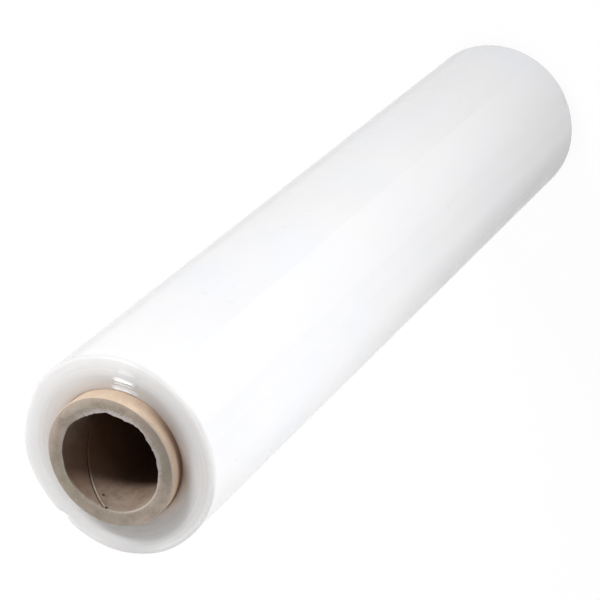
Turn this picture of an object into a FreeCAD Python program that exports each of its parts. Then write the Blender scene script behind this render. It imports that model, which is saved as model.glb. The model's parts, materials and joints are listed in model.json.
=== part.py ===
import FreeCAD, Part
import math
import os

# A roll of stretch wrap standing on one end, in millimetres. +Z runs up along the roll, and the
# origin is the centre of the bottom end of the cardboard core.

# Cardboard core: a spiral-wound paper tube that stands out of the film at both ends
core_bore = 52.0
core_wall = 7.5
core_overhang = 7.0
core_edge_break = 0.4

# Seam of the core's innermost ply: a narrow helical gap in the wall of the bore
seam_width = 0.8
seam_depth = 0.5
seam_lead = 120.0
seam_angle_at_top = 125.0

# Stretch film: one web wound on the core, each turn lying on the one below
film_width = 500.0
film_diameter = 103.0
film_edge_radius = 1.5

# Free end of the film: a straight step along the roll, from which the web winds inwards
free_end_step = 0.25
free_end_angle = -108.0

# End faces of the film: dished towards the core, with the turns in bands that fine grooves part,
# and a plain rim outside the last groove
end_dish = 2.2
band_count = 6
groove_depth = 0.3
rim_width = 1.5

core_length = film_width + 2 * core_overhang
core_radius = core_bore / 2 + core_wall
film_radius = film_diameter / 2
film_bottom = core_overhang
film_top = core_overhang + film_width

up = FreeCAD.Vector(0, 0, 1)


def point(radius, height):
    return FreeCAD.Vector(radius, 0, height)


def direction(angle):
    return FreeCAD.Vector(math.cos(math.radians(angle)), math.sin(math.radians(angle)), 0)


def plain_tube():
    """The core's wall turned about the axis, with its four cut edges slightly worn."""
    bore_radius = core_bore / 2
    edge = core_edge_break
    corners = [
        point(bore_radius + edge, 0),
        point(core_radius - edge, 0),
        point(core_radius, edge),
        point(core_radius, core_length - edge),
        point(core_radius - edge, core_length),
        point(bore_radius + edge, core_length),
        point(bore_radius, core_length - edge),
        point(bore_radius, edge),
    ]
    wall = Part.Face(Part.makePolygon(corners + corners[:1]))
    return wall.revolve(FreeCAD.Vector(), up, 360)


def seam_groove():
    """A rectangular section swept along a right-handed helix in the bore, past both ends."""
    bore_radius = core_bore / 2
    slope = math.atan(seam_lead / (math.pi * core_bore))
    half_height = seam_width / math.cos(slope) / 2
    run_out = 2 * half_height
    helix = Part.makeHelix(seam_lead, core_length + 2 * run_out, bore_radius)
    corners = [
        point(bore_radius - seam_depth, -half_height),
        point(bore_radius + seam_depth, -half_height),
        point(bore_radius + seam_depth, half_height),
        point(bore_radius - seam_depth, half_height),
    ]
    section = Part.makePolygon(corners + corners[:1])
    groove = Part.Wire(helix.Edges).makePipeShell([section], True, True)
    turned_at_top = 360 * (core_length + run_out) / seam_lead
    groove.rotate(FreeCAD.Vector(), up, seam_angle_at_top - turned_at_top)
    groove.translate(up * -run_out)
    return groove


def core_tube():
    return plain_tube().cut(seam_groove())


def dish_height(share):
    """Height of the top end, share of the way from the core to the last groove: a parabola."""
    return film_top - end_dish * (1 - share) ** 2


def end_bands(inset):
    """Edges of the top end's outline from the core outwards, two shallow slopes for each band.

    A band's crest lies on the dish and its sides run down into the grooves. inset shifts the
    outline towards the axis.
    """
    first_radius = core_radius - inset
    span = film_radius - film_edge_radius - rim_width - core_radius
    edges = []
    for band in range(band_count):
        start, middle, end = ((band + part) / band_count for part in (0, 0.5, 1))
        crest = point(first_radius + span * middle, dish_height(middle))
        inner = point(first_radius + span * start, dish_height(start) - groove_depth)
        outer = point(first_radius + span * end, dish_height(end) - groove_depth)
        edges.append(Part.makeLine(inner, crest))
        edges.append(Part.makeLine(crest, outer))
    return edges


def rim_and_edge(inset):
    """The top end's plain rim, and its soft outer edge: a quarter circle down to the side."""
    centre_radius = film_radius - inset - film_edge_radius
    rim_height = film_top - groove_depth
    centre_height = rim_height - film_edge_radius
    reach = film_edge_radius * math.sqrt(0.5)
    rim = Part.makeLine(point(centre_radius - rim_width, rim_height), point(centre_radius, rim_height))
    edge = Part.Arc(
        point(centre_radius, rim_height),
        point(centre_radius + reach, centre_height + reach),
        point(centre_radius + film_edge_radius, centre_height),
    ).toShape()
    return [rim, edge]


def mirrored(edges):
    """The same edges at the bottom end of the film."""
    middle = FreeCAD.Vector(0, 0, (film_bottom + film_top) / 2)
    return [edge.mirror(middle, up) for edge in edges]


def film_half_turn(start_angle, inset):
    """Half a turn of the film's section about an axis that is inset from the roll's own."""
    ends = end_bands(inset) + rim_and_edge(inset)
    ends += mirrored(ends)
    outer_radius = film_radius - inset
    first_radius = core_radius - inset
    inner_radius = core_radius - free_end_step
    inner_top = dish_height(0) - groove_depth
    inner_bottom = film_bottom + film_top - inner_top
    side_top = film_top - groove_depth - film_edge_radius
    side_bottom = film_bottom + film_top - side_top
    sides = [
        Part.makeLine(point(outer_radius, side_bottom), point(outer_radius, side_top)),
        Part.makeLine(point(first_radius, inner_top), point(inner_radius, inner_top)),
        Part.makeLine(point(inner_radius, inner_top), point(inner_radius, inner_bottom)),
        Part.makeLine(point(inner_radius, inner_bottom), point(first_radius, inner_bottom)),
    ]
    outline = Part.Wire(Part.sortEdges(ends + sides)[0])
    half = Part.Face(outline).revolve(FreeCAD.Vector(), up, 180)
    half.rotate(FreeCAD.Vector(), up, start_angle)
    return half


def film_roll():
    """Two half turns with their centres half a step apart, which together make one turn of a
    spiral: it comes round a whole step further in, and that step is the film's free end."""
    outer_half = film_half_turn(free_end_angle, 0)
    inner_half = film_half_turn(free_end_angle + 180, free_end_step / 2)
    inner_half.translate(direction(free_end_angle + 180) * (free_end_step / 2))
    turns = outer_half.fuse(inner_half)
    core_space = Part.makeCylinder(core_radius, core_length)
    return turns.cut(core_space)


def save(name, shape):
    solid = shape.Solids[0] if len(shape.Solids) == 1 else shape
    print(name, "solids", len(shape.Solids), "valid", shape.isValid(), "volume", round(shape.Volume))
    solid.exportStep("parts/" + name + ".step")


os.makedirs("parts", exist_ok=True)
save("core_tube", core_tube())
save("film_roll", film_roll())
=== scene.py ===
import json
import math

import bpy
import numpy as np
from mathutils import Matrix, Vector


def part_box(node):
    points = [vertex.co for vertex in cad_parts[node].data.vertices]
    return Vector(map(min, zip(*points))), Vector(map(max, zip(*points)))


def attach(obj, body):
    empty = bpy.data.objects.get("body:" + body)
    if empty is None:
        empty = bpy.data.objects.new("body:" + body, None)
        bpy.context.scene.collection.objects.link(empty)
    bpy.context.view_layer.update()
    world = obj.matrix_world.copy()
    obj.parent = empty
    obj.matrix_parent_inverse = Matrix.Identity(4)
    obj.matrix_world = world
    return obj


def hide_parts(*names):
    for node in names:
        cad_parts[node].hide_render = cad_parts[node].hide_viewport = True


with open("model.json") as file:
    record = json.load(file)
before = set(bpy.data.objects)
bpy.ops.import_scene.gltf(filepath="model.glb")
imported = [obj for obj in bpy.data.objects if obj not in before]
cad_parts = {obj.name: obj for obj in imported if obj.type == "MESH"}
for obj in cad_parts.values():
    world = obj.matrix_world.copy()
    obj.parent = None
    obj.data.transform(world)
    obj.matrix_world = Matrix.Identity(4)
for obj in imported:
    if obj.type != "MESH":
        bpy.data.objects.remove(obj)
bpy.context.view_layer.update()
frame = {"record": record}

# A hand roll of stretch film on a paper core, standing on its end. Metres, +Z up along the roll.

# Overall sizes, read from the frame
film_low, film_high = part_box("film_roll")
core_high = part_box("core_tube")[1]
film_radius = max(film_high[0], film_high[1])
film_bottom = film_low[2]
film_top = film_high[2]
core_radius = core_high[0]
core_top = core_high[2]
bore_radius = next(m["dims"]["r_mm"] for m in frame["record"]["mounts"] if m["name"] == "core_bore") / 1000


def sector(middle, half_width):
    """A stretch of the way round the roll, from degrees: the angles of its middle and half width."""
    return math.radians(middle), math.radians(half_width)


# Winding of the film
free_end_angle = math.radians(-108)
free_end_step = 0.00025
film_edge_radius = 0.0015
film_clearance = 0.00008
slow_wave = 0.00006
end_dish = 0.0022
band_count = 6
band_width = 0.0025
bands_edge = core_radius + band_count * band_width
band_fade = 0.0006
groove_depth = 0.00012
rings_per_band = 5

# Slopes of the layers' cut edges on the film's ends. In one patch some rings of them are steep
# and gleam, and are painted white as a painted highlight. Each ring is given by how far from the
# core it starts and ends, the middle and half of its angle round the roll, and how strong it is
ring_slope = 0.14
ring_rounding = 0.12
steep_slope_inside = 1.32
steep_slope_outside = 1.12
steep_roughness = 0.16
steep_fade = 0.0002
steep_ragged = 0.006
steep_rings = [
    (0.0006, 0.0032, *sector(-55, 10), 1.0),
    (0.0042, 0.0050, *sector(-54, 7.5), 0.6),
    (0.0060, 0.0080, *sector(-54.5, 7.5), 1.0),
    (0.0108, 0.0132, *sector(-56, 6), 0.35),
]

# A dent in the film's edge at the top end
dent_angle, dent_half_width = sector(95, 6)
dent_depth = 0.0014
dent_reach = 0.005

# Where the film is out of round at the top end: angle, half width and way outwards
film_bulges = [
    (*sector(136, 55), 0.0014),
    (*sector(58, 22), 0.0006),
    (*sector(26, 24), -0.0009),
]
bulge_reach = 0.08

# Creases on the film's side, which lie in long cells that slant either way. Most cells stay plain,
# and a crease's half width is a share of its cell
crease_slants = (0.4, -0.35)
crease_cell = (0.033, 0.0067, 1.0)
plain_cells = 0.975
crease_half_width = 0.085
side_relief = 0.0004

# Winding of the core
seam_lead = 0.120
seam_angle_at_top = math.radians(125)
seam_width = 0.0009
seam_depth = 0.0006
seam_lip = 0.00022
lip_depth = 0.030
ply_thickness = 0.0006
ply_relief = 0.00003
board_relief = 0.00005
board_sink = 0.00008
fibre_relief = 0.0003
cut_edge_radius = 0.0002
outer_edge_radius = 0.0004

# Mouths of the bore: faint facets, and an inner ply that is torn inwards on one side
mouth_facet = 0.00012
mouth_reach = 0.004
torn_lip = 0.0006
torn_lip_reach = 0.0008
torn_lip_rise = 0.0004
torn_side_angle = math.radians(-78)
torn_width = 0.003

# Dark specks on the wall of the bore: angle, depth below the top mouth and radius
specks = [
    (math.radians(111.6), 0.0089, 0.0010),
    (math.radians(125.1), 0.0007, 0.0015),
]

# Where the top mouth of the bore is pressed out of round: angle, half width and way outwards
mouth_presses = [
    (*sector(-17, 32), -0.0011),
    (*sector(-83, 23), 0.0010),
    (*sector(-120, 14), 0.0004),
    (*sector(-143, 16), -0.0003),
    (*sector(74, 26), 0.0007),
    (*sector(26, 22), -0.0004),
]

# Colours are linear red, green and blue. A side is a sector of the way round the roll that differs
# from the rest. A reach is a pair of distances, from where a colour starts to where it is full

# The film's ends: tones from the core out to the rim, then what differs, with reaches measured
# outwards from the core
# Next to the core the tones are brownish where the core shows through, and darker with painted shade from
# the core's stub; the last tone is painted shade on the rounded rim
end_tones = [
    (0.0, (0.58, 0.51, 0.46)),
    (0.09, (0.66, 0.62, 0.59)),
    (0.22, (0.70, 0.68, 0.67)),
    (0.36, (0.76, 0.745, 0.735)),
    (0.60, (0.86, 0.855, 0.85)),
    (0.90, (0.88, 0.875, 0.87)),
    (1.0, (0.80, 0.795, 0.79)),
]
end_cloud = (0.70, 0.69, 0.70)
# Painted shade on one side of the film's ends
painted_shade_end = (0.57, 0.54, 0.515)
painted_shade_end_side = sector(-115, 75)
# Painted light that lifts the film next to the core on the core's shaded side
painted_light_end = (0.95, 0.79, 0.67)
painted_light_end_side = sector(-152, 42)
painted_light_end_reach = (0.0055, 0.0010)
# Painted brown shade next to the core on one side
painted_brown_shade_end = (0.40, 0.31, 0.25)
painted_brown_shade_end_side = sector(-108, 45)
# Painted light next to the core on its open side
painted_light_open_end = (0.90, 0.87, 0.84)
painted_light_open_end_side = sector(-42, 40)
by_core_reach = (0.0075, 0.0010)
dull_rim = (0.60, 0.59, 0.585)
dull_rim_side = sector(138, 22)
dull_rim_reach = (0.0120, 0.0165)
# Painted highlight on the steep rings of the gleam's patch
painted_gleam_white = (0.99, 0.985, 0.98)

# The film's side, with reaches measured up from the floor. The last stretch of the web ends, and
# the strip under it starts, at a share of a turn from the free end
side_pale = (0.86, 0.857, 0.866)
side_cloud = (0.81, 0.807, 0.815)
side_cold = (0.78, 0.82, 0.90)
last_stretch = (0.90, 0.895, 0.91)
last_stretch_end = 0.09
last_stretch_reach = (0.04, 0.12)
strip_under_start = 0.967
# Painted shade on the top edge of the side, strongest on one side
painted_shade_rim = (0.62, 0.615, 0.615)
painted_shade_rim_side = sector(-108, 65)
painted_shade_rim_height = 0.003
dull_strip = (0.62, 0.615, 0.62)
dull_strip_side = sector(-19, 8)
# Darker towards the bottom on one side
dark_low_film = (0.50, 0.475, 0.46)
dark_low_film_side = sector(-175, 42)
dark_low_film_reach = (0.36, 0.05)

# The bore, with reaches measured in from the nearer mouth
bore_dark = (0.28, 0.205, 0.155)
bore_light = (0.44, 0.36, 0.295)
# Painted shade deep in the bore
painted_shade_deep_bore = (0.10, 0.043, 0.018)
painted_shade_deep_reach = (0.007, 0.036)
# Painted shade, dark red-brown, on one side of the bore
painted_shade_bore = (0.27, 0.15, 0.09)
painted_shade_bore_side = sector(68, 45)
# Pale torn fibres at the mouths, also used for a painted highlight along the seam's lip
fibres_and_lip_highlight = (0.60, 0.53, 0.48)
bore_fibres_side = sector(-175, 55)
bore_fibres_reach = (0.0013, 0.0004)
gap_dark = (0.035, 0.02, 0.012)

# The cut rings, with reaches measured outwards from the bore, or for the outer plies inwards from
# the outside
board_dark = (0.29, 0.235, 0.185)
board_light = (0.46, 0.39, 0.325)
green_board = (0.27, 0.25, 0.185)
pink_board = (0.49, 0.385, 0.34)
board_fibres = (0.60, 0.545, 0.55)
whole_edge = (0.64, 0.56, 0.48)
whole_edge_side = sector(178, 55)
whole_edge_reach = (0.0010, 0.0004)
# Darker board, on one side towards the outside and on another near the bore
darker_board = (0.20, 0.175, 0.14)
darker_board_side = sector(-112, 50)
darker_board_reach = (0.003, 0.006)
dull_board_side = sector(27, 50)
dull_board_reach = (0.005, 0.003)
pale_board = (0.66, 0.60, 0.50)
pale_board_side = sector(-15, 22)
pale_board_reach = (0.0020, 0.0035)
outer_plies = (0.60, 0.49, 0.41)
outer_plies_side = sector(-18, 75)
outer_plies_reach = (0.0030, 0.0006)

# The outer ply, with reaches measured from the nearer end, the painted shadow's from the film's end
kraft_dark = (0.62, 0.465, 0.345)
kraft_light = (0.72, 0.575, 0.45)
# Painted shade on the kraft's shaded side
painted_shade_kraft = (0.33, 0.235, 0.165)
painted_shade_kraft_side = sector(-138, 62)
# Painted contact shadow where the kraft meets the film
painted_shadow_kraft = (0.34, 0.18, 0.11)
painted_shadow_kraft_reach = (-0.0014, 0.0010)
worn_kraft = (0.36, 0.31, 0.255)
worn_kraft_reach = (0.0020, 0.0006)
peach_kraft_side = sector(-25, 85)

# Patterns in the film and the paper are drawn out along the roll
drawn_out = (1.0, 1.0, 0.35)


def waves(seed, turn, along=0.0, count=8, most_round=6, most_along=0.0):
    """Sum of cosines with whole numbers of waves round the roll and a random number along it.

    Each wave is cos(m * angle + k * along + phase); the sum is divided by the root of its count.
    """
    rng = np.random.default_rng(seed)
    total = 0.0
    for _ in range(count):
        m = rng.integers(1, most_round + 1)
        k = rng.uniform(-most_along, most_along)
        phase = rng.uniform(0, 2 * np.pi)
        total = total + np.cos(m * turn + k * along + phase)
    return total / math.sqrt(count)


def turn_from(angle, other):
    """The turn from one angle to another the short way round, from minus half a turn to half a turn."""
    return (angle - other + np.pi) % (2 * np.pi) - np.pi


def bump_at(distance, half_width):
    """1 at no distance, falling as a squared cosine to 0 at the half width and beyond."""
    return np.cos(np.clip(distance / half_width, -1, 1) * np.pi / 2) ** 2


def closed_surface(name, points, row_slots, materials, masks=None):
    """A mesh from an array of points, rows by columns by three, closed round both ways.

    Each face joins four neighbouring points, and takes the material slot of its first row.
    Masks are named arrays with one number for each point.
    """
    rows, columns = points.shape[:2]
    here = np.arange(rows * columns).reshape(rows, columns)
    right = np.roll(here, -1, axis=1)
    below = np.roll(here, -1, axis=0)
    across = np.roll(below, -1, axis=1)
    faces = np.stack([here, right, across, below], axis=-1).reshape(-1, 4)
    mesh = bpy.data.meshes.new(name)
    mesh.from_pydata(points.reshape(-1, 3).tolist(), [], faces.tolist())
    for material in materials:
        mesh.materials.append(material)
    mesh.polygons.foreach_set("material_index", np.repeat(row_slots, columns).astype(np.int32))
    mesh.polygons.foreach_set("use_smooth", np.ones(len(faces), dtype=bool))
    mesh.set_sharp_from_angle(angle=math.radians(50))
    for label, values in (masks or {}).items():
        attribute = mesh.attributes.new(label, "FLOAT", "POINT")
        attribute.data.foreach_set("value", values.ravel().astype(np.float32))
    mesh.update()
    piece = bpy.data.objects.new(name, mesh)
    bpy.context.scene.collection.objects.link(piece)
    return piece


def film_section():
    """The film's outline as arrays of radius, height and share of end face, round the section.

    It runs out along the bottom end, up the side, in along the top end and down the core.
    """
    face_rows, edge_rows, side_rows = 86, 7, 74
    inner = core_radius + film_clearance
    outer = film_radius - film_edge_radius
    face = np.linspace(inner, outer, face_rows)
    turn = np.linspace(0, np.pi / 2, edge_rows + 2)[1:-1]
    edge_radius = outer + film_edge_radius * np.sin(turn)
    edge_drop = film_edge_radius * (1 - np.cos(turn))
    closer_at_ends = (1 - np.cos(np.linspace(0, np.pi, side_rows))) / 2
    side_low = film_bottom + film_edge_radius
    side = side_low + (film_top - film_edge_radius - side_low) * closer_at_ends
    flat = np.zeros(face_rows)
    out = np.concatenate([face, edge_radius])
    radius = np.concatenate([out, np.full(side_rows, film_radius), out[::-1]])
    bottom = np.concatenate([flat, edge_drop])
    height = np.concatenate([film_bottom + bottom, side, film_top - bottom[::-1]])
    on_edge = np.cos(turn) ** 2
    ends = np.concatenate([flat + 1, on_edge])
    end_share = np.concatenate([-ends, np.zeros(side_rows), ends[::-1]])
    return radius, height, end_share


def wound_film(materials):
    """The film's outline carried once round the axis, as one turn of a spiral.

    The radius shrinks by the free end's step over the turn. The ends sink towards the core by a
    parabola, and by a rounded groove between bands; the bands move in by one in a whole turn, so
    they are one spiral too. Slow waves round the roll and along it make it a little uneven. The
    dent is a squared cosine of the angle and of the distance from the edge, and the bulges are
    squared cosines of the angle that fade away down the roll.
    """
    columns = 288
    fraction = np.linspace(0, 1, columns + 1)[None, :]
    angle = free_end_angle + 2 * np.pi * fraction
    radius, height, end_share = (a[:, None] for a in film_section())
    from_core = (radius - core_radius) / (film_radius - core_radius)
    in_bands = np.clip((radius - core_radius) / (bands_edge - core_radius), 0, 1)
    plain_rim = np.clip((radius - bands_edge) / band_fade, 0, 1)
    end = np.abs(end_share)
    side = np.sign(end_share)
    turns = (radius - core_radius) / band_width + fraction
    bead = np.abs(np.sin(np.pi * turns))
    uneven = 0.7 + 0.3 * waves(11, angle, turns, most_round=5, most_along=2.5)
    sink = end_dish * (1 - in_bands) ** 2 + groove_depth * uneven * (1 - bead) * (1 - plain_rim)
    sink = sink + slow_wave * waves(12, angle, turns, most_round=3, most_along=2.0)
    loose = slow_wave * waves(13, angle, height, most_round=4, most_along=12.0)
    from_edge = np.hypot(film_radius - radius, film_top - height)
    dent = dent_depth * bump_at(angle - dent_angle, dent_half_width) * bump_at(from_edge, dent_reach)
    bulge = 0.0
    for bulge_angle, half_width, way_out in film_bulges:
        bulge = bulge + way_out * bump_at(turn_from(angle, bulge_angle), half_width)
    bulge = bulge * from_core * np.exp(-(film_top - height) / bulge_reach)
    out = radius - free_end_step * fraction * from_core + loose * from_core + bulge - dent
    up = height - side * end * sink - 0.5 * dent
    points = np.stack([out * np.cos(angle), out * np.sin(angle), up], axis=-1)
    on_side = (end[:, 0] < 0.5).astype(int)
    return closed_surface("wound_film", points, on_side, materials)


def core_columns():
    """Angles round the core counted from the seam, closer together beside the seam."""
    beside_seam, gap = 0.07, 0.075
    plain = np.linspace(0, 2 * np.pi, 300, endpoint=False)
    beside = np.linspace(-beside_seam, beside_seam, 29)
    far = plain[(plain > gap) & (plain < 2 * np.pi - gap)]
    return np.sort(np.concatenate([far, beside % (2 * np.pi)]))


def core_section():
    """The core's outline as arrays of radius, height and part.

    It runs up the bore, out over the top ring, down the outside and in over the bottom ring.
    Part is 0 in the bore, 1 on the cut rings and 2 outside. The bore's heights are given as
    stretches with a start, an end and a count, closer together towards the mouth.
    """
    stretches = [(0, 0.004, 12), (0.0047, 0.012, 10), (0.016, 0.060, 12), (0.068, core_top / 2, 26)]
    half = np.concatenate([np.linspace(*stretch) for stretch in stretches])
    bore_heights = np.concatenate([half, core_top - half[-2::-1]])
    bore = np.full(len(bore_heights), bore_radius)
    turn = np.linspace(0, np.pi / 2, 5)[1:-1]
    inner = bore_radius + cut_edge_radius * (1 - np.cos(turn))
    outer = core_radius - outer_edge_radius * (1 - np.cos(turn))
    rise = np.sin(turn)
    ring = np.linspace(bore_radius + cut_edge_radius, core_radius - outer_edge_radius, 40)
    stub = np.linspace(outer_edge_radius, film_bottom + 0.004, 14)
    hidden = np.linspace(film_bottom + 0.016, core_top / 2, 16)
    outside_half = np.concatenate([stub, hidden])
    outside = np.concatenate([core_top - outside_half, outside_half[-2::-1]])
    bore_heights = np.clip(bore_heights, cut_edge_radius, core_top - cut_edge_radius)
    inner_rise = cut_edge_radius * (1 - rise)
    outer_rise = outer_edge_radius * (1 - rise)
    parts = [
        (bore, bore_heights, 0),
        (inner, core_top - inner_rise, 1),
        (ring, np.full(len(ring), core_top), 1),
        (outer[::-1], core_top - outer_rise[::-1], 2),
        (np.full(len(outside), core_radius), outside, 2),
        (outer, outer_rise, 2),
        (ring[::-1], np.zeros(len(ring)), 1),
        (inner[::-1], inner_rise[::-1], 1),
    ]
    radius = np.concatenate([p[0] for p in parts])
    height = np.concatenate([p[1] for p in parts])
    part = np.concatenate([np.full(len(p[0]), p[2]) for p in parts])
    return radius, height, part


def paper_core(materials):
    """The core's outline carried round the axis, its columns turning with height as the plies do.

    A point's angle is its column's angle plus a full turn for each lead of height, so the seam is
    one column. In the bore the seam is a groove with a lip beside it. Near each mouth the bore
    is faintly faceted and its inner ply is torn on one side, and the top mouth is pressed out of
    round by squared cosines of the angle. The cut rings carry fine ply lines.
    """
    columns = core_columns()[None, :]
    radius, height, part = (a[:, None] for a in core_section())
    angle = columns + seam_angle_at_top + 2 * np.pi * (height - core_top) / seam_lead
    slope = math.atan(seam_lead / (2 * np.pi * bore_radius))
    from_seam = turn_from(columns, 0) * bore_radius * math.sin(slope)
    bore = (part == 0).astype(float)
    ring = (part == 1).astype(float)
    mouth = np.minimum(height, core_top - height)
    groove = np.clip(1.5 - 2 * np.abs(from_seam) / seam_width, 0, 1)
    lip = bump_at(from_seam - 0.9 * seam_width, 0.9 * seam_width)
    lip = lip * np.clip(2 - 2 * mouth / lip_depth, 0, 1)
    near_bore = np.clip(1 - (radius - bore_radius) / ply_thickness, 0, 1)
    near_mouth = np.exp(-mouth / mouth_reach)
    facets = waves(21, angle, count=5, most_round=9) * near_mouth
    at_top = (height > core_top / 2).astype(float)
    pressed = 0.0
    for press_angle, half_width, way_out in mouth_presses:
        pressed = pressed + way_out * bump_at(turn_from(angle, press_angle), half_width)
    by_bore = np.clip(1 - (radius - bore_radius) / torn_width, 0, 1)
    pressed = pressed * at_top * near_mouth * by_bore
    ragged = np.clip(0.4 + 0.6 * waves(22, angle, count=9, most_round=24), 0, 1)
    ragged = ragged + 0.5 * np.clip(waves(24, angle, count=14, most_round=90), 0, 1)
    torn_side = 0.1 + 0.9 * np.clip(np.cos(angle - torn_side_angle) * 1.6 - 0.3, 0, 1)
    frayed = torn_lip * ragged * torn_side * np.exp(-mouth / torn_lip_reach) * near_bore
    out = radius + bore * seam_depth * groove - bore * seam_lip * lip
    out = out - mouth_facet * facets * near_bore - frayed + pressed
    ply_lines = np.cos(2 * np.pi * (radius - bore_radius) / ply_thickness)
    away = np.sign(height - core_top / 2)
    pulp = waves(23, angle, radius, count=12, most_round=40, most_along=3000)
    rough = ply_relief * ply_lines + board_relief * pulp
    up = height + ring * away * (rough - board_sink) + away * 0.4 * frayed
    up = np.clip(up, 0, core_top + torn_lip_rise)
    points = np.stack([out * np.cos(angle), out * np.sin(angle), up], axis=-1)
    masks = {
        "seam": bump_at(from_seam, 0.6 * seam_width) * bore,
        "lip": lip * bore,
        "torn": np.clip(torn_side * (0.45 + 0.55 * ragged), 0, 1),
        "by_bore": by_bore,
    }
    masks = {label: (values + 0 * up)[::-1] for label, values in masks.items()}
    return closed_surface("paper_core", points[::-1], part[::-1, 0], materials, masks)


class Nodes:
    """Short calls that add and join the nodes of one material or node group."""

    def __init__(self, tree):
        self.tree = tree

    def add(self, kind, inputs=(), **settings):
        node = self.tree.nodes.new(kind)
        for name, value in settings.items():
            setattr(node, name, value)
        for name, value in dict(inputs).items():
            self.join(node.inputs[name], value)
        return node

    def join(self, socket, value):
        if isinstance(value, bpy.types.NodeSocket):
            self.tree.links.new(value, socket)
        else:
            socket.default_value = value

    def maths(self, operation, a, b=0.0):
        return self.add("ShaderNodeMath", {0: a, 1: b}, operation=operation).outputs[0]

    def times(self, first, *others):
        """The product of all its values."""
        for other in others:
            first = self.maths("MULTIPLY", first, other)
        return first

    def span(self, value, low, high, to_low=0.0, to_high=1.0, smooth=False):
        """A value's place between low and high, as a number from to_low to to_high."""
        inputs = {"Value": value, "From Min": low, "From Max": high, "To Min": to_low, "To Max": to_high}
        kind = "SMOOTHSTEP" if smooth else "LINEAR"
        return self.add("ShaderNodeMapRange", inputs, interpolation_type=kind).outputs["Result"]

    def mix(self, share, a, b):
        node = self.add("ShaderNodeMix", data_type="RGBA")
        self.join(node.inputs[0], share)
        self.join(node.inputs[6], a)
        self.join(node.inputs[7], b)
        return node.outputs[2]

    def tint(self, tone, colour, *shares):
        """A tone drawn towards a colour by the product of the shares."""
        return self.mix(self.times(*shares), tone, (*colour, 1))

    def mix_value(self, share, a, b):
        return self.add("ShaderNodeMix", {0: share, 2: a, 3: b}).outputs[0]

    def toward(self, turn, angle, half_width):
        """1 at an angle round the roll, falling as a cosine to 0 at the half width and beyond."""
        quarter = math.pi / 2
        away = self.maths("ADD", self.times(turn, 2 * math.pi), free_end_angle - angle)
        away = self.maths("ARCCOSINE", self.maths("COSINE", away))
        away = self.maths("MINIMUM", self.times(away, quarter / half_width), quarter)
        return self.maths("COSINE", away)

    def mask(self, name):
        """A mask that the mesh carries as an attribute of its points."""
        return self.add("ShaderNodeAttribute", attribute_name=name).outputs["Fac"]

    def noise(self, vector, scale, detail, roughness):
        inputs = {"Vector": vector, "Scale": scale, "Detail": detail, "Roughness": roughness}
        return self.add("ShaderNodeTexNoise", inputs).outputs["Fac"]

    def ramp(self, value, stops):
        node = self.add("ShaderNodeValToRGB", {"Fac": value})
        band = node.color_ramp
        for at, _ in stops[1:-1]:
            band.elements.new(at)
        for element, (at, colour) in zip(band.elements, stops):
            element.position = at
            element.color = (*colour, 1)
        return node.outputs["Color"]

    def along_one(self, value):
        return self.add("ShaderNodeCombineXYZ", {0: value}).outputs[0]

    def stretched(self, vector, scale):
        return self.add("ShaderNodeMapping", {"Vector": vector, "Scale": scale}).outputs["Vector"]

    def bump(self, height, strength, distance):
        inputs = {"Height": height, "Strength": strength, "Distance": distance}
        return self.add("ShaderNodeBump", inputs).outputs["Normal"]


def new_group(name, inputs, outputs):
    """An empty shader node group with float sockets; returns it, its nodes, inputs and outputs."""
    group = bpy.data.node_groups.new(name, "ShaderNodeTree")
    for label, value in inputs:
        socket = group.interface.new_socket(label, in_out="INPUT", socket_type="NodeSocketFloat")
        socket.default_value = value
    for label, kind in outputs:
        group.interface.new_socket(label, in_out="OUTPUT", socket_type=kind)
    nodes = Nodes(group)
    return group, nodes, nodes.add("NodeGroupInput"), nodes.add("NodeGroupOutput")


def roll_place_group():
    """Where a point lies on the roll: radius, height, share of a turn from the free end, and bands.

    Bands counts the film's bands outwards from the core, along their spiral. Unrolled is a vector
    that runs round the roll, along it and outwards, each in metres.
    """
    outputs = [
        ("Radius", "NodeSocketFloat"),
        ("Height", "NodeSocketFloat"),
        ("Turn", "NodeSocketFloat"),
        ("Bands", "NodeSocketFloat"),
        ("Unrolled", "NodeSocketVector"),
    ]
    group, nodes, _, out = new_group("Place on the roll", [], outputs)
    place = nodes.add("ShaderNodeTexCoord").outputs["Object"]
    x, y, height = nodes.add("ShaderNodeSeparateXYZ", {0: place}).outputs
    squares = nodes.maths("ADD", nodes.times(x, x), nodes.times(y, y))
    radius = nodes.maths("SQRT", squares)
    angle = nodes.maths("SUBTRACT", nodes.maths("ARCTAN2", y, x), free_end_angle)
    turn = nodes.maths("FRACT", nodes.maths("DIVIDE", angle, 2 * math.pi))
    from_core = nodes.maths("SUBTRACT", radius, core_radius)
    bands = nodes.maths("ADD", nodes.maths("DIVIDE", from_core, band_width), turn)
    round_it = nodes.times(turn, 2 * math.pi * film_radius)
    unrolled = nodes.add("ShaderNodeCombineXYZ", {0: round_it, 1: height, 2: radius}).outputs[0]
    nodes.join(out.inputs["Radius"], radius)
    nodes.join(out.inputs["Height"], height)
    nodes.join(out.inputs["Turn"], turn)
    nodes.join(out.inputs["Bands"], bands)
    nodes.join(out.inputs["Unrolled"], unrolled)
    return group


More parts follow.
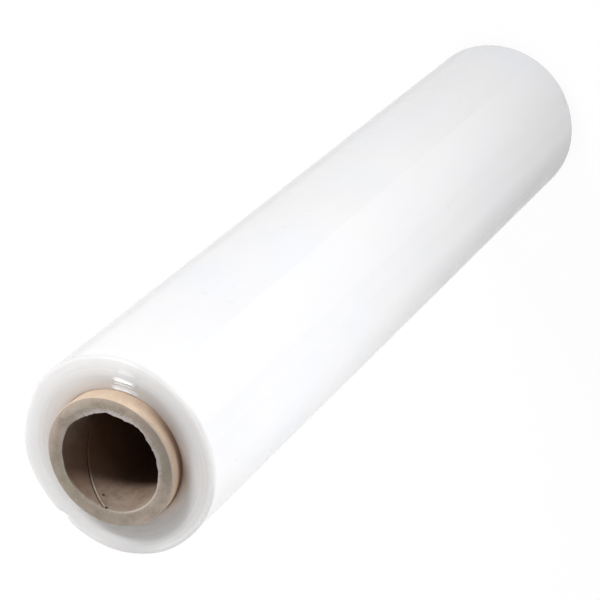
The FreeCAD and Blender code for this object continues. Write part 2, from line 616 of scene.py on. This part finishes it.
def paper_grain_group():
    """Paper: fibres drawn out along the roll, blotches where the pulp lies uneven, and flecks."""
    inputs = [("Fibre scale", 900.0), ("Blotch scale", 130.0), ("Fleck scale", 1700.0)]
    outputs = [
        ("Fibres", "NodeSocketFloat"),
        ("Blotches", "NodeSocketFloat"),
        ("Flecks", "NodeSocketFloat"),
    ]
    group, nodes, given, out = new_group("Paper grain", inputs, outputs)
    place = nodes.add("ShaderNodeTexCoord").outputs["Object"]
    fibres = nodes.noise(nodes.stretched(place, drawn_out), given.outputs["Fibre scale"], 4.0, 0.65)
    blotches = nodes.noise(place, given.outputs["Blotch scale"], 3.0, 0.6)
    flecks = nodes.noise(place, given.outputs["Fleck scale"], 1.0, 0.5)
    nodes.join(out.inputs["Fibres"], fibres)
    nodes.join(out.inputs["Blotches"], blotches)
    nodes.join(out.inputs["Flecks"], nodes.span(flecks, 0.68, 0.76))
    return group


def film_haze_group():
    """Film in many turns: slow clouds drawn out along the roll, finer smears, and a cold tint."""
    inputs = [("Cloud scale", 22.0), ("Smear scale", 60.0), ("Tint scale", 14.0)]
    outputs = [
        ("Clouds", "NodeSocketFloat"),
        ("Smears", "NodeSocketFloat"),
        ("Tint", "NodeSocketFloat"),
    ]
    group, nodes, given, out = new_group("Film haze", inputs, outputs)
    place = nodes.add("ShaderNodeTexCoord").outputs["Object"]
    clouds = nodes.noise(nodes.stretched(place, drawn_out), given.outputs["Cloud scale"], 3.0, 0.55)
    smears = nodes.noise(place, given.outputs["Smear scale"], 3.0, 0.6)
    tint = nodes.noise(place, given.outputs["Tint scale"], 1.0, 0.5)
    nodes.join(out.inputs["Clouds"], clouds)
    nodes.join(out.inputs["Smears"], smears)
    nodes.join(out.inputs["Tint"], nodes.span(tint, 0.45, 0.75))
    return group


def new_material(name):
    material = bpy.data.materials.new(name)
    material.use_nodes = True
    nodes = Nodes(material.node_tree)
    shader = material.node_tree.nodes["Principled BSDF"]
    return material, nodes, shader


def film_base(name, place_group, haze_group):
    """Milky film: light wanders a few millimetres inside it. Returns what the two films share."""
    material, nodes, shader = new_material(name)
    place = nodes.add("ShaderNodeGroup", node_tree=place_group).outputs
    haze = nodes.add("ShaderNodeGroup", node_tree=haze_group).outputs
    shader.inputs["IOR"].default_value = 1.5
    shader.inputs["Subsurface Weight"].default_value = 0.8
    shader.inputs["Subsurface Radius"].default_value = (1.0, 0.97, 0.95)
    shader.inputs["Subsurface Scale"].default_value = 0.006
    return material, nodes, shader, place, haze


def steep_share(nodes, from_core, turn):
    """How steep and glossy the layers' cut edges are, and how strongly a painted highlight whitens
    them: 0 outside the patch's rings, to 1.

    The ends of the rings are ragged, since each fine ring starts and stops at its own place.
    """
    ring_lot = nodes.noise(nodes.along_one(from_core), 1500.0, 1.0, 0.5)
    ragged = nodes.span(ring_lot, 0.3, 0.7, -steep_ragged, steep_ragged)
    ragged = nodes.maths("ADD", turn, ragged)
    total = 0.0
    for start, end, middle, half_angle, share in steep_rings:
        in_patch = nodes.span(nodes.toward(ragged, middle, 1.3 * half_angle), 0.15, 0.5)
        begun = nodes.span(from_core, start - steep_fade, start + steep_fade)
        going_on = nodes.span(from_core, end + steep_fade, end - steep_fade)
        total = nodes.maths("ADD", nodes.times(begun, going_on, in_patch, share), total)
    return total


def film_edge_height(nodes, bands, from_core, steep):
    """Height of the cut edges on the film's ends, in ring widths.

    Fine rings lie over each other like shingles. Each slopes down outwards, about a quarter more
    steeply at its outer side than at its inner one. A lamp gleams on the rings that are steep.
    """
    ring = nodes.maths("FRACT", nodes.times(bands, rings_per_band))
    steepest = nodes.span(from_core, 0.0, bands_edge - core_radius, steep_slope_inside, steep_slope_outside)
    slope = nodes.mix_value(nodes.span(steep, 0.0, 0.3), ring_slope, steepest)
    rounded = nodes.maths("ADD", nodes.times(ring, ring_rounding), 1.0)
    return nodes.times(nodes.maths("SUBTRACT", 1.0, ring), rounded, slope)


def film_end(place_group, haze_group):
    """The film's ends: thousands of cut edges, which draw a gleam out from the core to the rim.

    They are brownish where the core shows through, and paler outwards, with painted shade next to
    the core and on the rounded rim. One side has painted shade. Against the core painted light
    lifts the core's shaded side, painted brown shade darkens the next side, and painted light
    brightens the open side. In the gleam's patch the steep rings are painted white as a painted
    highlight. The rim is duller beside the dent.
    """
    material, nodes, shader, place, haze = film_base("film_end", place_group, haze_group)
    radius, turn = place["Radius"], place["Turn"]
    from_core = nodes.maths("SUBTRACT", radius, core_radius)
    by_core = nodes.span(from_core, *by_core_reach)
    painted_light_share = nodes.span(from_core, *painted_light_end_reach)
    rim = nodes.span(from_core, *dull_rim_reach)
    steep = steep_share(nodes, from_core, turn)
    # Tones from core to rim, with painted shade next to the core and on the rounded rim
    tone = nodes.ramp(nodes.span(radius, core_radius, film_radius), end_tones)
    tone = nodes.tint(tone, end_cloud, nodes.span(haze["Clouds"], 0.35, 0.7), 0.10)
    # Painted shade on one side
    tone = nodes.tint(tone, painted_shade_end, nodes.toward(turn, *painted_shade_end_side), 0.25)
    # Painted light next to the core on its shaded side
    tone = nodes.tint(tone, painted_light_end, nodes.toward(turn, *painted_light_end_side), painted_light_share)
    # Painted brown shade next to the core
    tone = nodes.tint(tone, painted_brown_shade_end, nodes.toward(turn, *painted_brown_shade_end_side), by_core, 0.5)
    # Painted light next to the core on its open side
    tone = nodes.tint(tone, painted_light_open_end, nodes.toward(turn, *painted_light_open_end_side), by_core, 0.8)
    tone = nodes.tint(tone, dull_rim, nodes.toward(turn, *dull_rim_side), rim, 0.55)
    # Painted highlight on the steep rings
    tone = nodes.tint(tone, painted_gleam_white, steep)
    nodes.join(shader.inputs["Base Color"], tone)
    smeared = nodes.span(haze["Smears"], 0.3, 0.7, 0.50, 0.60)
    nodes.join(shader.inputs["Roughness"], nodes.mix_value(steep, smeared, steep_roughness))
    shader.inputs["Anisotropic"].default_value = 1.0
    shader.inputs["Anisotropic Rotation"].default_value = 0.25
    in_bands = nodes.span(radius, bands_edge + band_fade, bands_edge)
    edges = nodes.times(film_edge_height(nodes, place["Bands"], from_core, steep), in_bands)
    nodes.join(shader.inputs["Normal"], nodes.bump(edges, 1.0, band_width / rings_per_band))
    return material


def crease_height(nodes, unrolled):
    """Height of the few short creases on the film's side, slanting either way across the roll.

    The side is divided into long thin cells, and each crease is a ridge at the centre of one.
    """
    ridges = 0.0
    for slant in crease_slants:
        settings = {"Vector": unrolled, "Rotation": (0.0, 0.0, slant), "Scale": crease_cell}
        place = nodes.add("ShaderNodeMapping", settings, vector_type="TEXTURE").outputs["Vector"]
        settings = {"Vector": place, "Scale": 1.0}
        cells = nodes.add("ShaderNodeTexVoronoi", settings, voronoi_dimensions="2D").outputs
        lot = nodes.add("ShaderNodeSeparateColor", {0: cells["Color"]}).outputs[0]
        chosen = nodes.maths("GREATER_THAN", lot, plain_cells)
        near = nodes.span(cells["Distance"], crease_half_width, 0.0, smooth=True)
        ridges = nodes.maths("ADD", nodes.times(near, chosen), ridges)
    return ridges


def film_side(place_group, haze_group):
    """The film's side: glossy, with slight clouds, a few short creases and the edges of layers.

    The last stretch of the web, up to its free end, is paler, and so is a strip under it. The top
    edge has painted shade, one strip along the roll is dull, and one side is darker towards the
    bottom.
    """
    material, nodes, shader, place, haze = film_base("film_side", place_group, haze_group)
    turn, height, unrolled = place["Turn"], place["Height"], place["Unrolled"]
    tone = nodes.tint((*side_pale, 1), side_cloud, nodes.span(haze["Clouds"], 0.35, 0.7), 0.5)
    tone = nodes.tint(tone, side_cold, haze["Tint"], 0.3)
    layer = nodes.maths("LESS_THAN", turn, last_stretch_end)
    layer = nodes.times(layer, nodes.span(height, *last_stretch_reach, 0.1, 0.4))
    under = nodes.times(nodes.maths("GREATER_THAN", turn, strip_under_start), 0.2)
    tone = nodes.tint(tone, last_stretch, nodes.maths("ADD", layer, under))
    # Painted shade on the top edge
    rim = nodes.span(height, film_top - painted_shade_rim_height, film_top)
    rim_side = nodes.span(nodes.toward(turn, *painted_shade_rim_side), 0.0, 1.0, 0.65, 1.0)
    tone = nodes.tint(tone, painted_shade_rim, rim, rim_side)
    tone = nodes.tint(tone, dull_strip, nodes.toward(turn, *dull_strip_side), 0.3)
    low_down = nodes.span(height, *dark_low_film_reach, 0.0, 0.9)
    tone = nodes.tint(tone, dark_low_film, nodes.toward(turn, *dark_low_film_side), low_down)
    nodes.join(shader.inputs["Base Color"], tone)
    nodes.join(shader.inputs["Roughness"], nodes.span(haze["Smears"], 0.3, 0.7, 0.17, 0.27))
    slack = nodes.noise(nodes.stretched(unrolled, (1.0, 0.5, 1.0)), 45.0, 1.0, 0.5)
    relief = nodes.times(nodes.maths("ADD", crease_height(nodes, unrolled), slack), 0.4)
    nodes.join(shader.inputs["Normal"], nodes.bump(relief, 1.0, side_relief))
    return material


def paper(name, grain_group, dark, light, bump_strength, roughness):
    """Board or paper: a colour between two tones by its grain, with flecks and rough fibres.

    Returns the material with its nodes, shader, colour and grain, for the colour to be worked on.
    """
    material, nodes, shader = new_material(name)
    grain = nodes.add("ShaderNodeGroup", node_tree=grain_group).outputs
    share = nodes.mix_value(0.4, grain["Blotches"], grain["Fibres"])
    tone = nodes.ramp(nodes.span(share, 0.35, 0.65), [(0.0, dark), (1.0, light)])
    fleck = tuple(0.45 * part for part in dark)
    tone = nodes.tint(tone, fleck, grain["Flecks"], 0.35)
    rough = nodes.span(grain["Fibres"], 0.3, 0.7, roughness - 0.06, roughness + 0.06)
    nodes.join(shader.inputs["Roughness"], rough)
    shader.inputs["Specular IOR Level"].default_value = 0.2
    nodes.join(shader.inputs["Normal"], nodes.bump(grain["Fibres"], bump_strength, fibre_relief))
    return material, nodes, shader, tone, grain


def from_mouth(nodes, height):
    """How far a height is from the nearer end of the core."""
    return nodes.maths("MINIMUM", height, nodes.maths("SUBTRACT", core_top, height))


def uneven_line(nodes, distance, grain):
    """A distance that the blotches of the paper make uneven by up to a ply's thickness."""
    uneven = nodes.span(grain["Blotches"], 0.3, 0.7, -ply_thickness, ply_thickness)
    return nodes.maths("ADD", distance, uneven)


def speck_share(nodes):
    """1 in the dark specks on the wall of the bore, 0 away from them."""
    here = nodes.add("ShaderNodeTexCoord").outputs["Object"]
    total = 0.0
    for angle, depth, speck_radius in specks:
        outwards = Vector((math.cos(angle), math.sin(angle), 0))
        speck = outwards * bore_radius + Vector((0, 0, core_top - depth))
        away = nodes.add("ShaderNodeVectorMath", {0: here, 1: speck}, operation="DISTANCE").outputs["Value"]
        total = nodes.maths("MAXIMUM", nodes.span(away, speck_radius, 0.5 * speck_radius), total)
    return total


def bore_paper(grain_group, place_group):
    """The innermost ply: grey-brown near the mouths, and by painted shade deep brown further in and
    redder on one side.

    It is dark in its seam and at its specks, pale where torn fibres stand at the mouths, and pale
    along the seam's lip as a painted highlight.
    """
    paper_parts = paper("bore_ply", grain_group, bore_dark, bore_light, 0.35, 0.85)
    material, nodes, shader, tone, _ = paper_parts
    place = nodes.add("ShaderNodeGroup", node_tree=place_group).outputs
    turn, mouth = place["Turn"], from_mouth(nodes, place["Height"])
    # Painted shade deeper in the bore
    tone = nodes.tint(tone, painted_shade_deep_bore, nodes.span(mouth, *painted_shade_deep_reach), 0.9)
    # Painted shade on one side of the bore
    tone = nodes.tint(tone, painted_shade_bore, nodes.toward(turn, *painted_shade_bore_side), 0.65)
    torn = nodes.span(nodes.mask("torn"), 0.0, 0.6, 0.35, 1.0)
    edge = nodes.maths("MAXIMUM", torn, nodes.toward(turn, *bore_fibres_side))
    edge = nodes.times(edge, nodes.span(mouth, *bore_fibres_reach), 0.7)
    # Pale torn fibres at the mouths, and a painted highlight along the seam's lip
    pale = nodes.maths("MAXIMUM", edge, nodes.times(nodes.mask("lip"), 0.22))
    tone = nodes.tint(tone, fibres_and_lip_highlight, pale)
    dark = nodes.maths("MAXIMUM", nodes.mask("seam"), speck_share(nodes))
    tone = nodes.tint(tone, gap_dark, dark, 0.9)
    nodes.join(shader.inputs["Base Color"], tone)
    return material


def cut_paper(grain_group, place_group):
    """The cut rings: grey board with greener and pinker patches.

    Round the bore torn fibres are pale, and so is the mouth's edge where it is whole. One side is
    darker towards the outside, one is duller near the bore, and the lit side is paler and shows the
    outer plies' kraft.
    """
    paper_parts = paper("cut_board", grain_group, board_dark, board_light, 0.6, 0.9)
    material, nodes, shader, tone, grain = paper_parts
    place = nodes.add("ShaderNodeGroup", node_tree=place_group).outputs
    radius, turn = place["Radius"], place["Turn"]
    from_bore = nodes.maths("SUBTRACT", radius, bore_radius)
    from_outside = nodes.maths("SUBTRACT", core_radius, uneven_line(nodes, radius, grain))
    patches = nodes.noise(nodes.add("ShaderNodeTexCoord").outputs["Object"], 55.0, 2.0, 0.5)
    tone = nodes.tint(tone, green_board, nodes.span(patches, 0.52, 0.68), 0.5)
    tone = nodes.tint(tone, pink_board, nodes.span(patches, 0.48, 0.36), 0.6)
    uneven = nodes.span(grain["Fibres"], 0.3, 0.7, -0.35, 0.35)
    by_bore = nodes.maths("ADD", nodes.mask("by_bore"), uneven)
    fibres = nodes.times(nodes.span(by_bore, 0.20, 0.75), nodes.span(nodes.mask("torn"), 0.0, 0.6))
    tone = nodes.tint(tone, board_fibres, fibres, 0.72)
    edge = nodes.span(from_bore, *whole_edge_reach)
    tone = nodes.tint(tone, whole_edge, nodes.toward(turn, *whole_edge_side), edge)
    darker_outwards = nodes.span(from_bore, *darker_board_reach, 0.30, 0.78)
    tone = nodes.tint(tone, darker_board, nodes.toward(turn, *darker_board_side), darker_outwards)
    dull = nodes.span(from_bore, *dull_board_reach, 0.0, 0.35)
    tone = nodes.tint(tone, darker_board, nodes.toward(turn, *dull_board_side), dull)
    pale = nodes.span(from_bore, *pale_board_reach, 0.0, 0.38)
    tone = nodes.tint(tone, pale_board, nodes.toward(turn, *pale_board_side), pale)
    outer = nodes.span(from_outside, *outer_plies_reach)
    outer_side = nodes.span(nodes.toward(turn, *outer_plies_side), 0.0, 1.0, 0.1, 0.85)
    tone = nodes.tint(tone, outer_plies, outer, outer_side)
    tone = nodes.tint(tone, gap_dark, nodes.mask("seam"), 0.9)
    nodes.join(shader.inputs["Base Color"], tone)
    return material


def outer_paper(grain_group, place_group):
    """The smooth outer ply: peach-coloured kraft paper.

    It is browner with painted shade on one side, and has a painted contact shadow where it meets
    the film. Its edges are worn grey except on the peach side.
    """
    paper_parts = paper("kraft_ply", grain_group, kraft_dark, kraft_light, 0.12, 0.6)
    material, nodes, shader, tone, grain = paper_parts
    place = nodes.add("ShaderNodeGroup", node_tree=place_group).outputs
    turn = place["Turn"]
    mouth = uneven_line(nodes, from_mouth(nodes, place["Height"]), grain)
    # Painted shade on one side
    kraft_shade_share = nodes.toward(turn, *painted_shade_kraft_side)
    tone = nodes.tint(tone, painted_shade_kraft, kraft_shade_share, 0.8)
    # Painted contact shadow where the kraft meets the film
    start, end = (film_bottom + reach for reach in painted_shadow_kraft_reach)
    by_film = nodes.span(mouth, start, end, 0.0, 0.8)
    tone = nodes.tint(tone, painted_shadow_kraft, by_film, nodes.span(kraft_shade_share, 0.0, 0.6, 0.15, 1.0))
    worn = nodes.span(mouth, *worn_kraft_reach)
    not_peach = nodes.span(nodes.toward(turn, *peach_kraft_side), 0.7, 0.25)
    tone = nodes.tint(tone, worn_kraft, worn, not_peach)
    nodes.join(shader.inputs["Base Color"], tone)
    return material


def background_share(nodes):
    """1 for rays that show the background itself: the camera's, and mirrored or passed on."""
    rays = nodes.add("ShaderNodeLightPath").outputs
    seen = nodes.maths("MAXIMUM", rays["Is Camera Ray"], rays["Is Glossy Ray"])
    return nodes.maths("MAXIMUM", seen, rays["Is Transmission Ray"])


def pale_floor():
    """A wide sheet under the roll: white to the eye, with a soft shadow, and grey to the light."""
    half = 4.0
    mesh = bpy.data.meshes.new("floor")
    corners = [(-half, -half, 0), (half, -half, 0), (half, half, 0), (-half, half, 0)]
    mesh.from_pydata(corners, [], [(0, 1, 2, 3)])
    floor = bpy.data.objects.new("floor", mesh)
    bpy.context.scene.collection.objects.link(floor)
    material, nodes, shader = new_material("floor_white")
    grey_to_light, white_to_eye = (0.22, 0.22, 0.22, 1), (0.95, 0.95, 0.95, 1)
    tone = nodes.mix(background_share(nodes), grey_to_light, white_to_eye)
    nodes.join(shader.inputs["Base Color"], tone)
    shader.inputs["Roughness"].default_value = 0.9
    shader.inputs["Specular IOR Level"].default_value = 0.1
    white = nodes.add("ShaderNodeEmission", {"Color": (1, 1, 1, 1), "Strength": 1.0})
    share = nodes.times(background_share(nodes), 0.94)
    both = nodes.add("ShaderNodeMixShader", {0: share, 1: shader.outputs[0], 2: white.outputs[0]})
    output = material.node_tree.nodes["Material Output"]
    nodes.join(output.inputs["Surface"], both.outputs[0])
    mesh.materials.append(material)
    return floor


def studio_world():
    """White all round to the eye, and a plain even light on the object."""
    world = bpy.data.worlds.new("studio")
    bpy.context.scene.world = world
    world.use_nodes = True
    nodes = Nodes(world.node_tree)
    even = world.node_tree.nodes["Background"]
    even.inputs["Color"].default_value = (0.98, 0.98, 1.0, 1)
    even.inputs["Strength"].default_value = 0.22
    white = nodes.add("ShaderNodeBackground", {"Color": (1, 1, 1, 1), "Strength": 1.0})
    seen = background_share(nodes)
    both = nodes.add("ShaderNodeMixShader", {0: seen, 1: even.outputs[0], 2: white.outputs[0]})
    nodes.join(world.node_tree.nodes["World Output"].inputs["Surface"], both.outputs[0])


def soft_lamp(name, azimuth, elevation, distance, target, size, power):
    """An area lamp, as wide and high as its size, that looks at a point.

    Azimuth and elevation give the lamp's direction from that point, in degrees.
    """
    flat = math.cos(math.radians(elevation))
    toward = Vector((
        math.cos(math.radians(azimuth)) * flat,
        math.sin(math.radians(azimuth)) * flat,
        math.sin(math.radians(elevation)),
    ))
    data = bpy.data.lights.new(name, "AREA")
    data.shape = "RECTANGLE"
    data.size, data.size_y = size
    data.energy = power
    lamp = bpy.data.objects.new(name, data)
    lamp.visible_camera = False
    lamp.location = Vector(target) + toward * distance
    lamp.rotation_euler = toward.to_track_quat("Z", "Y").to_euler()
    bpy.context.scene.collection.objects.link(lamp)
    return lamp


def photo_camera():
    """The photo's view: from above and in front of the near end, rolled to the side."""
    data = bpy.data.cameras.new("camera")
    data.sensor_width = 36
    data.lens = 139.1
    data.clip_end = 30
    camera = bpy.data.objects.new("camera", data)
    right = Vector((-0.6630, -0.6140, -0.4283))
    forward = Vector((0.0, 0.5721, -0.8202))
    turn = Matrix((right, right.cross(forward), -forward)).transposed()
    place = Vector((-0.0021, -0.7182, 1.3385))
    camera.matrix_world = Matrix.Translation(place) @ turn.to_4x4()
    bpy.context.scene.collection.objects.link(camera)
    bpy.context.scene.camera = camera


place_group = roll_place_group()
grain_group = paper_grain_group()
haze_group = film_haze_group()
cut_edges = film_end(place_group, haze_group)
outer_turn = film_side(place_group, haze_group)
bore_ply = bore_paper(grain_group, place_group)
cut_board = cut_paper(grain_group, place_group)
kraft_ply = outer_paper(grain_group, place_group)

film = wound_film([cut_edges, outer_turn])
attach(film, "root")
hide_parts("film_roll")

core = paper_core([bore_ply, cut_board, kraft_ply])
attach(core, "root")
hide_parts("core_tube")

floor = pale_floor()
studio_world()

# Lamps by azimuth, elevation, distance, target, width and height, and power. The key lamp gleams
# on the steep rings, and the others fill
near_end = (0, 0, film_top)
soft_lamp("key", -22, 29.5, 1.4, near_end, (0.6, 0.16), 16.5)
soft_lamp("fill", 94, 38, 1.4, near_end, (0.8, 0.5), 7.5)
soft_lamp("side", -148, -4, 0.55, near_end, (0.5, 0.07), 2.1)
soft_lamp("low", -88, -14, 1.0, near_end, (0.6, 0.3), 4.2)
soft_lamp("back", 98, -22, 0.9, near_end, (0.5, 0.2), 3.6)
photo_camera()
bpy.context.scene.view_settings.view_transform = "Standard"
